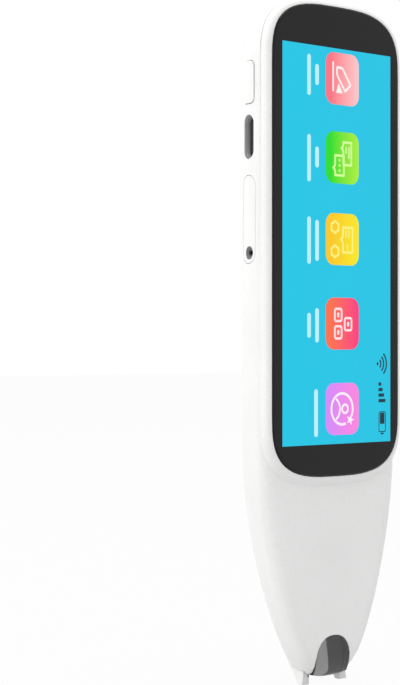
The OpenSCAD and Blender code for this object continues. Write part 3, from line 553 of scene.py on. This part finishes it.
# %% [markdown]
# Behind the camera window sits one camera. From outside the eye finds it by a clear aperture in the
# black print, a fine dark ring round it and a finer one for its iris. All are thin discs on the
# window, started as a circle. A ring is the circle's face inset, with the middle taken out.

# %% Camera rings and aperture
lens_middle = sum(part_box("rear_camera_lens"), Vector()) / 2
window_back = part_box("rear_camera_window")[1].y
ring_metal = grained("dark_anodised_ring", ("#3A3B3E", "#58595D"), 0.2, 0.0004, (0.28, 0.42),
                     Metallic=1.0)


def back_disc(name, radius, hole, proud, material):
    """A thin disc, or a ring where a hole is given, on the camera window, facing backwards."""
    mesh = bmesh.new()
    place = Matrix.Translation((lens_middle.x, window_back + proud * MM, lens_middle.z))
    bmesh.ops.create_circle(mesh, cap_ends=True, segments=72, radius=radius * MM,
                            matrix=place @ Matrix.Rotation(-math.pi / 2, 4, "X"))
    if hole:
        rim = set(bmesh.ops.inset_region(mesh, faces=mesh.faces[:], use_boundary=True,
                                         use_even_offset=True,
                                         thickness=(radius - hole) * MM)["faces"])
        bmesh.ops.delete(mesh, geom=[f for f in mesh.faces if f not in rim], context="FACES")
    piece = make_object(name, mesh, material)
    thicken(piece, 0.015)
    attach(piece, "body")


back_disc("camera_ring", 3.5, 3.15, 0.03, ring_metal)
back_disc("camera_aperture", 2.5, 0, 0.02, coated_lens)
back_disc("camera_iris_ring", 1.5, 1.3, 0.035, ring_metal)
print("camera at", [round(v / MM, 2) for v in lens_middle], "mm")

# %% [markdown]
# The tongue of a USB-C port carries twelve gold contacts on each face, 0.5 mm apart and a quarter of a
# millimetre wide. Each is a small box laid a fiftieth of a millimetre proud of the tongue, with its
# edges bevelled so that it catches a little light.

# %% Port contacts
CONTACTS, CONTACT_PITCH, CONTACT_INSET = 12, 0.5, 2.1
CONTACT_SIZE = (3.2, 0.04, 0.26)
tongue_low, tongue_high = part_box("usb_c_tongue")
tongue_middle = (tongue_low + tongue_high) / 2
mesh = bmesh.new()
for face_y in (tongue_low.y, tongue_high.y):
    for contact in range(CONTACTS):
        height = (contact - (CONTACTS - 1) / 2) * CONTACT_PITCH * MM
        centre = Vector((tongue_low.x + CONTACT_INSET * MM, face_y, tongue_middle.z + height))
        bmesh.ops.create_cube(mesh, size=MM, matrix=Matrix.Translation(centre)
                              @ Matrix.Diagonal((*CONTACT_SIZE, 1)))
bmesh.ops.bevel(mesh, geom=mesh.edges[:], offset=0.01 * MM, segments=1, profile=0.5, affect="EDGES",
                material=-1)
contacts = make_object("port_contacts", mesh, gold_plate)
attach(contacts, "body")
print(2 * CONTACTS, "contacts")

# %% [markdown]
# ## The screen
#
# The cover glass is one black face with a picture that seems to lie in its surface. A display of this
# kind is laminated to the glass, so the picture is given a pocket 0.03 mm deep: the copy's front face
# is cut along the four edges of the picture, and the middle face is inset and sunk.

# %% Pocket for the picture
PICTURE_WIDTH, PICTURE_HEIGHT = 33.2, 83.8
PICTURE_MID = (0.0, 92.8)


def cut_pocket(piece, depth):
    """Sinks the picture's rectangle into the front face of the glass by a depth in mm."""
    mesh = bmesh.new()
    mesh.from_mesh(piece.data)
    front = [f for f in mesh.faces if abs(f.calc_center_median().y - y_at(0)) < 0.001 * MM]
    half_x, half_z = PICTURE_WIDTH / 2 * MM, PICTURE_HEIGHT / 2 * MM
    middle = Vector((PICTURE_MID[0] * MM, y_at(0), PICTURE_MID[1] * MM))
    for reach in (Vector((half_x, 0, 0)), Vector((-half_x, 0, 0)), Vector((0, 0, half_z)),
                  Vector((0, 0, -half_z))):
        geom = set(front)
        for face in front:
            geom.update(face.edges)
            geom.update(face.verts)
        cut = bmesh.ops.bisect_plane(mesh, geom=list(geom), plane_co=middle + reach,
                                     plane_no=reach.normalized(), dist=0.0001 * MM)
        front = [g for g in cut["geom"] if isinstance(g, bmesh.types.BMFace)]
    inside = [f for f in front
              if abs(f.calc_center_median().x - middle.x) < half_x
              and abs(f.calc_center_median().z - middle.z) < half_z]
    bmesh.ops.inset_region(mesh, faces=inside, thickness=0.01 * MM, depth=-depth * MM,
                           use_even_offset=True)
    mesh.to_mesh(piece.data)
    mesh.free()
    return len(inside)


print("pocket faces:", cut_pocket(smooth["display_glass"], 0.03))

# %% [markdown]
# Everything on the screen gives its own light. A lit colour is therefore emission, under the same
# coated glass surface as the border, so that both reflect alike. A colour may run from one hue at
# the low side of a shape to another at its high side. Real pixels are about 0.1 mm; the faint grid
# drawn here is coarser, as fine as it can be and still show.

# %% Lit colours
PIXEL_GRID, GRID_LINE = 0.8, 0.04


def lit(name, low_colour, high_colour, low_x, high_x):
    """Light that runs from one colour at low_x to another at high_x, in mm, with a pixel grid."""
    material, tree, shader = new_material(name)
    place = add_node(tree, "ShaderNodeTexCoord")
    axes = add_node(tree, "ShaderNodeSeparateXYZ", Vector=place.outputs["Object"])
    along = add_node(tree, "ShaderNodeMapRange", {"From Min": low_x * MM, "From Max": high_x * MM},
                     Value=axes.outputs["X"])
    hue = add_node(tree, "ShaderNodeValToRGB", Fac=along.outputs[0])
    hue.color_ramp.elements[0].color = linear(low_colour)
    hue.color_ramp.elements[1].color = linear(high_colour)
    upright = add_node(tree, "ShaderNodeMapping", {"Rotation": (math.pi / 2, 0, 0)},
                       Vector=place.outputs["Object"])
    pixels = add_node(tree, "ShaderNodeTexBrick",
                      {"offset": 0.0, "Scale": 1 / (PIXEL_GRID * MM), "Mortar Size": GRID_LINE,
                       "Color1": linear("#FFFFFF"), "Color2": linear("#FCFCFC"),
                       "Mortar": linear("#F4F4F4")}, Vector=upright.outputs[0])
    light = add_node(tree, "ShaderNodeMix", {"data_type": "RGBA", "blend_type": "MULTIPLY"})
    light.inputs["Factor"].default_value = 1.0
    tree.links.new(hue.outputs["Color"], light.inputs[6])
    tree.links.new(pixels.outputs["Color"], light.inputs[7])
    tree.links.new(light.outputs[2], shader.inputs["Emission Color"])
    shader.inputs["Emission Strength"].default_value = 1.0
    shader.inputs["Base Color"].default_value = linear("#060607")
    shader.inputs["Roughness"].default_value = 0.06
    shader.inputs["Specular IOR Level"].default_value = 0.24
    return material


lit_sky = lit("lit_screen_cyan", "#02C7E8", "#02C5E6", -17, 17)
lit_label = lit("lit_label_pale", "#B9F1FA", "#C6F4FB", -10, -5)
lit_status = lit("lit_status_dark", "#002C38", "#00323E", 12, 16)
print("lit colours:", lit_sky.name, lit_label.name, lit_status.name)

# %% [markdown]
# The shapes on the screen are thin sheets one behind another: picture, then icon plates, then the
# signs on them, a few thousandths of a millimetre apart. A flat shape needs few steps. A face is
# made from its corners, its corners are rounded by a vertex bevel, and where only a line is wanted
# the face is inset and the middle taken out. A Solidify modifier gives each sheet its thickness.

# %% Flat shapes
def add_to(sheet, part, stroke):
    """Insets a flat part to a line where a stroke is given, turns it to the front, adds it."""
    if stroke:
        rim = bmesh.ops.inset_region(part, faces=part.faces[:], thickness=stroke * MM,
                                     use_boundary=True, use_even_offset=True)["faces"]
        middle = [f for f in part.faces if f not in set(rim)]
        bmesh.ops.delete(part, geom=middle, context="FACES")
    part.normal_update()
    bmesh.ops.reverse_faces(part, faces=[f for f in part.faces if f.normal.y > 0])
    data = bpy.data.meshes.new("flat_part")
    part.to_mesh(data)
    part.free()
    sheet.from_mesh(data)
    bpy.data.meshes.remove(data)


def flat_shape(sheet, middle, depth, corners, rounding=0.0, stroke=0.0):
    """A shape from corners (right, up) in mm about a middle (x, z) in mm: up is +X, right is -Z."""
    part = bmesh.new()
    part.faces.new([part.verts.new(((middle[0] + up) * MM, y_at(depth), (middle[1] - right) * MM))
                    for right, up in corners])
    if rounding:
        bmesh.ops.bevel(part, geom=part.verts[:], offset=rounding * MM, segments=6, profile=0.5,
                        affect="VERTICES", material=-1)
    add_to(sheet, part, stroke)


def flat_box(sheet, middle, depth, right, up, width, height, rounding=0.0, stroke=0.0):
    """A box of a width and height about a point (right, up)."""
    a, b = width / 2, height / 2
    flat_shape(sheet, middle, depth, ((right - a, up - b), (right + a, up - b), (right + a, up + b),
                                      (right - a, up + b)), rounding, stroke)


def flat_disc(sheet, middle, depth, right, up, radius, stroke=0.0, sides=32):
    """A disc, or a ring where a stroke is given."""
    part = bmesh.new()
    place = Matrix.Translation(((middle[0] + up) * MM, y_at(depth), (middle[1] - right) * MM))
    bmesh.ops.create_circle(part, cap_ends=True, segments=sides, radius=radius * MM,
                            matrix=place @ Matrix.Rotation(math.pi / 2, 4, "X"))
    add_to(sheet, part, stroke)


def flat_arc(sheet, middle, depth, right, up, radius, width, start, turn):
    """A strip spun about (right, up) from an angle, both in degrees, 0 being right and 90 up."""
    part = bmesh.new()
    centre = Vector(((middle[0] + up) * MM, y_at(depth), (middle[1] - right) * MM))
    way = Vector((math.sin(math.radians(start)), 0, -math.cos(math.radians(start)))) * MM
    ends = [part.verts.new(centre + way * (radius + side * width / 2)) for side in (-1, 1)]
    part.edges.new(ends)
    bmesh.ops.spin(part, geom=part.verts[:] + part.edges[:], cent=centre, axis=(0, -1, 0),
                   angle=math.radians(turn), steps=max(4, round(turn / 12)), use_merge=False)
    add_to(sheet, part, 0.0)


def lit_sheet(name, sheet, material, thickness=0.004):
    """Makes a finished piece of a sheet: thin, riding on the body."""
    piece = make_object(name, sheet, material)
    thicken(piece, thickness)
    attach(piece, "body")
    print(name, len(piece.data.polygons), "faces")


# %% [markdown]
# The picture's ground first. It fills the pocket with a hundredth of a millimetre to spare all round.

# %% Picture ground
PICTURE_DEPTH, PLATE_DEPTH, SIGN_DEPTH = 0.02, 0.014, 0.008
PICTURE_ROOM = 0.04
sheet = bmesh.new()
flat_box(sheet, PICTURE_MID, PICTURE_DEPTH, 0, 0, PICTURE_HEIGHT - PICTURE_ROOM,
         PICTURE_WIDTH - PICTURE_ROOM)
lit_sheet("screen_picture", sheet, lit_sky)

# %% [markdown]
# Five icon plates stand in a row, each rounded like a soft key, with a colour that runs across it. The
# table gives each plate the height of its middle in mm, the colours at its low and high side, and
# the pale ink of its sign. The run of colour starts a little way in from the low side.

# %% Icon plates
PLATE_X, PLATE_SIZE, PLATE_ROUNDING = 1.4, (11.0, 10.2), 2.3
COLOUR_FROM, COLOUR_TO = PLATE_X - PLATE_SIZE[1] / 2 + 1.5, PLATE_X + PLATE_SIZE[1] / 2
PLATES = {
    "pencil": (128.3, "#FF7080", "#FFC9CB", "#FFF4F1"),
    "speech": (111.6, "#14DF18", "#ABF130", "#D6FF98"),
    "board": (94.3, "#FFC800", "#F7EC00", "#FFF27C"),
    "blocks": (76.4, "#FF6C45", "#FF2E80", "#FFE4E7"),
    "ring": (58.3, "#DB88FB", "#FF84DE", "#FFF0FF"),
}
for name, (mid_z, low_colour, high_colour, _) in PLATES.items():
    sheet = bmesh.new()
    flat_box(sheet, (PLATE_X, mid_z), PLATE_DEPTH, 0, 0, *PLATE_SIZE, rounding=PLATE_ROUNDING)
    lit_sheet("icon_plate_" + name, sheet,
              lit("lit_plate_" + name, low_colour, high_colour, COLOUR_FROM, COLOUR_TO))

# %% [markdown]
# The signs are plain line drawings of the kinds that every such menu has, drawn from boxes, discs
# and arcs with a stroke of about half a millimetre. Their corners are millimetres right of and above
# the plate's middle. Two helpers start and finish a sign. The first is a pencil on a line.

# %% Pencil sign
STROKE, BAR = 0.52, 0.42


def sign(name):
    """A sheet for the sign of one plate, with its middle and depth."""
    return bmesh.new(), (PLATE_X, PLATES[name][0]), SIGN_DEPTH


def finish_sign(name, sheet):
    """Makes the sign's piece, lit in its plate's pale ink."""
    lit_sheet("icon_sign_" + name, sheet,
              lit("lit_sign_" + name, PLATES[name][3], PLATES[name][3], PLATE_X - 4, PLATE_X + 4))


pencil = sign("pencil")
flat_shape(*pencil, ((-2.75, -1.9), (-0.8, -1.95), (2.9, 0.75), (1.1, 2.9), (-2.6, 0.1)), 0.45,
           STROKE)
flat_shape(*pencil, ((0.9, -1.2), (3.0, -2.0), (3.0, 0.1)), 0.15)
flat_box(*pencil, -0.4, -2.85, 6.4, 0.5, 0.24)
finish_sign("pencil", pencil[0])

# %% [markdown]
# Two speech bubbles that overlap at a corner. Each is a box with the point of its tail among its
# corners. One holds two bars, the other three dots.

# %% Speech sign
speech = sign("speech")
flat_shape(*speech, ((-3.6, 0.0), (-2.6, 0.0), (-2.1, -0.7), (-1.5, 0.0), (1.7, 0.0), (1.7, 3.0),
                     (-3.6, 3.0)), 0.2, STROKE)
flat_shape(*speech, ((-0.7, -2.5), (1.6, -2.5), (2.2, -3.2), (2.8, -2.5), (4.0, -2.5), (4.0, 0.7),
                     (-0.7, 0.7)), 0.2, STROKE)
flat_box(*speech, -1.2, 2.0, 2.6, BAR, 0.2)
flat_box(*speech, -1.7, 1.1, 1.6, BAR, 0.2)
for right in (0.55, 1.65, 2.75):
    flat_disc(*speech, right, -0.9, 0.3, sides=12)
finish_sign("speech", speech[0])

# %% [markdown]
# A board with three bars, its tail pointing down between two six-sided rings.

# %% Board sign
board = sign("board")
flat_shape(*board, ((-2.8, -0.1), (-0.7, -0.1), (0.0, -0.8), (0.7, -0.1), (3.0, -0.1), (3.0, 3.4),
                    (-2.8, 3.4)), 0.2, STROKE)
flat_box(*board, -1.2, 2.0, 1.7, BAR, 0.2)
flat_box(*board, -1.2, 1.1, 1.7, BAR, 0.2)
flat_box(*board, 1.6, 1.55, 1.3, BAR, 0.2)
for right in (-2.55, 2.6):
    flat_disc(*board, right, -2.3, 1.55, stroke=STROKE, sides=6)
finish_sign("board", board[0])

# %% [markdown]
# Three toy blocks, one on two, each a rounded line with a small dot in it.

# %% Blocks sign
blocks = sign("blocks")
for right, up in ((0.1, 1.75), (-1.85, -1.3), (1.85, -1.3)):
    flat_box(*blocks, right, up, 3.1, 2.6, 0.7, 0.5)
    flat_box(*blocks, right, up, 1.0, 0.7, 0.25)
finish_sign("blocks", blocks[0])

# %% [markdown]
# A head and shoulders in an open ring, with a star in the opening. The star is five kites spun about
# its middle: each has its tip out at the full radius and its two shoulders nearer in.

# %% Ring sign
STAR_MIDDLE, STAR_TIP, STAR_SHOULDER, STAR_LEAN = (2.35, 2.4), 1.25, 0.5, 0.7


def star_point(angle, reach):
    """A point (right, up) at an angle in radians and a reach in mm from the star's middle."""
    return STAR_MIDDLE[0] + reach * math.cos(angle), STAR_MIDDLE[1] + reach * math.sin(angle)


ring = sign("ring")
flat_arc(*ring, 0, -0.1, 3.3, 0.55, 62, 318)
flat_disc(*ring, 0, 0.8, 1.15, stroke=0.5)
flat_arc(*ring, 0, -3.3, 2.55, 0.5, 32, 116)
for spike in range(5):
    lean = math.radians(90 + 72 * spike)
    flat_shape(*ring, (STAR_MIDDLE, star_point(lean - STAR_LEAN, STAR_SHOULDER),
                       star_point(lean, STAR_TIP), star_point(lean + STAR_LEAN, STAR_SHOULDER)))
finish_sign("ring", ring[0])

# %% [markdown]
# Under each plate a real menu has a word or two. This one has plain bars, as a layout sketch has
# before the words are set: their lengths differ as words do.

# %% Label bars
NEAR_ROW, FAR_ROW, SINGLE_ROW = -6.35, -8.75, -6.65
LABEL_HEIGHT, LABEL_ROUNDING = 1.1, 0.54
sheet = bmesh.new()
for row, mid_z, length in ((NEAR_ROW, 128.6, 4.4), (FAR_ROW, 128.4, 8.6), (NEAR_ROW, 111.3, 4.4),
                           (FAR_ROW, 111.0, 9.9), (NEAR_ROW, 93.8, 8.6), (FAR_ROW, 93.8, 9.9),
                           (NEAR_ROW, 76.0, 7.2), (FAR_ROW, 76.0, 5.2), (SINGLE_ROW, 57.6, 10.0)):
    flat_box(sheet, (row, mid_z), SIGN_DEPTH, 0, 0, length, LABEL_HEIGHT, LABEL_ROUNDING)
lit_sheet("screen_label_bars", sheet, lit_label)

# %% [markdown]
# Along the top edge of the menu stand the usual states: waves for a radio link, four rising bars for
# a level and a battery with its fill. Each is placed by its own middle (x, z).

# %% Status signs
waves, levels, cell = (12.4, 67.8), (12.75, 61.6), (13.95, 55.2)
LEVEL_PITCH, LEVEL_WIDTH = 1.2, 0.72
sheet = bmesh.new()
for radius in (1.1, 2.0, 2.9):
    flat_arc(sheet, waves, SIGN_DEPTH, 0, 0, radius, 0.4, 42, 96)
flat_disc(sheet, waves, SIGN_DEPTH, 0, 0.05, 0.32, sides=14)
for step, tall in enumerate((0.9, 1.35, 1.8, 2.25)):
    flat_box(sheet, levels, SIGN_DEPTH, (step - 1.5) * LEVEL_PITCH, tall / 2, LEVEL_WIDTH, tall, 0.12)
flat_box(sheet, cell, SIGN_DEPTH, 0, 0, 4.5, 2.3, 0.45, 0.22)
flat_box(sheet, cell, SIGN_DEPTH, -0.75, 0, 2.4, 1.45, 0.2)
flat_box(sheet, cell, SIGN_DEPTH, 2.55, 0, 0.35, 0.9, 0.1)
lit_sheet("screen_status_signs", sheet, lit_status)

# %% [markdown]
# ## Studio
#
# An even white surround. The world shows itself white to the camera, and to mirrored and refracted
# rays, through Light Path, while it lights the object at a plain level.

# %% World
AMBIENT = 0.84


def seen_directly(tree):
    """1 for rays from the camera, and for mirrored and refracted ones; 0 for light on the object."""
    path = add_node(tree, "ShaderNodeLightPath")
    total = path.outputs["Is Camera Ray"]
    for ray in ("Is Glossy Ray", "Is Transmission Ray"):
        either = add_node(tree, "ShaderNodeMath", {"operation": "MAXIMUM"})
        tree.links.new(total, either.inputs[0])
        tree.links.new(path.outputs[ray], either.inputs[1])
        total = either.outputs[0]
    return total


world = bpy.data.worlds.new("surround")
bpy.context.scene.world = world
world.use_nodes = True
tree = world.node_tree
tree.nodes.clear()
dim = add_node(tree, "ShaderNodeBackground", {"Color": linear("#FFFFFF"), "Strength": AMBIENT})
bright = add_node(tree, "ShaderNodeBackground", {"Color": linear("#FFFFFF"), "Strength": 1.0})
blend = add_node(tree, "ShaderNodeMixShader", Fac=seen_directly(tree))
tree.links.new(dim.outputs[0], blend.inputs[1])
tree.links.new(bright.outputs[0], blend.inputs[2])
add_node(tree, "ShaderNodeOutputWorld", Surface=blend.outputs[0])
print("surround lights at", AMBIENT)

# %% [markdown]
# The floor is pale and mixes the same white with real shading, so that it keeps the object's soft
# shadow and throws a little less light up at the nose than it shows. It lies a hair below the feet.

# %% Floor
FLOOR_SHARE, FLOOR_SIZE, FLOOR_DROP = 0.95, 3.0, 0.05
floor_paint = bpy.data.materials.new("pale_floor")
floor_paint.use_nodes = True
tree = floor_paint.node_tree
tree.nodes.clear()
share = add_node(tree, "ShaderNodeMath", {"operation": "MULTIPLY"})
tree.links.new(seen_directly(tree), share.inputs[0])
share.inputs[1].default_value = FLOOR_SHARE
matt = add_node(tree, "ShaderNodeBsdfDiffuse", {"Color": linear("#D0D0D0")})
glow = add_node(tree, "ShaderNodeEmission", {"Color": linear("#FFFFFF"), "Strength": 1.0})
blend = add_node(tree, "ShaderNodeMixShader", Fac=share.outputs[0])
tree.links.new(matt.outputs[0], blend.inputs[1])
tree.links.new(glow.outputs[0], blend.inputs[2])
add_node(tree, "ShaderNodeOutputMaterial", Surface=blend.outputs[0])

floor_mesh = bmesh.new()
bmesh.ops.create_grid(floor_mesh, x_segments=1, y_segments=1, size=FLOOR_SIZE)
floor = make_object("floor", floor_mesh, floor_paint)
floor.location.z = -FLOOR_DROP * MM
print("floor at", round(floor.location.z / MM, 3), "mm")

# %% [markdown]
# Three square soft boxes. A broad one stands on the button side, so the side is the brightest face
# and the flat of the nose is a shade darker. A weak one behind keeps the back pale, and one overhead
# lights the top and the rim of the display surround.

# %% Soft boxes
def soft_box(name, place, size, power):
    """A square area lamp aimed at the middle of the object."""
    lamp = bpy.data.lights.new(name, "AREA")
    lamp.shape = "SQUARE"
    lamp.size = size
    lamp.energy = power
    obj = bpy.data.objects.new(name, lamp)
    obj.location = place
    aim = Vector((0, 0, (cad_low.z + cad_high.z) / 2)) - Vector(place)
    obj.rotation_euler = aim.to_track_quat("-Z", "Y").to_euler()
    bpy.context.scene.collection.objects.link(obj)


soft_box("side_box", (-0.9, 0.05, 0.3), 0.8, 3.2)
soft_box("back_box", (-0.1, 0.9, 0.4), 0.6, 0.9)
soft_box("top_box", (0.0, -0.12, 1.1), 0.5, 3.0)
bpy.context.scene.view_settings.view_transform = "Standard"
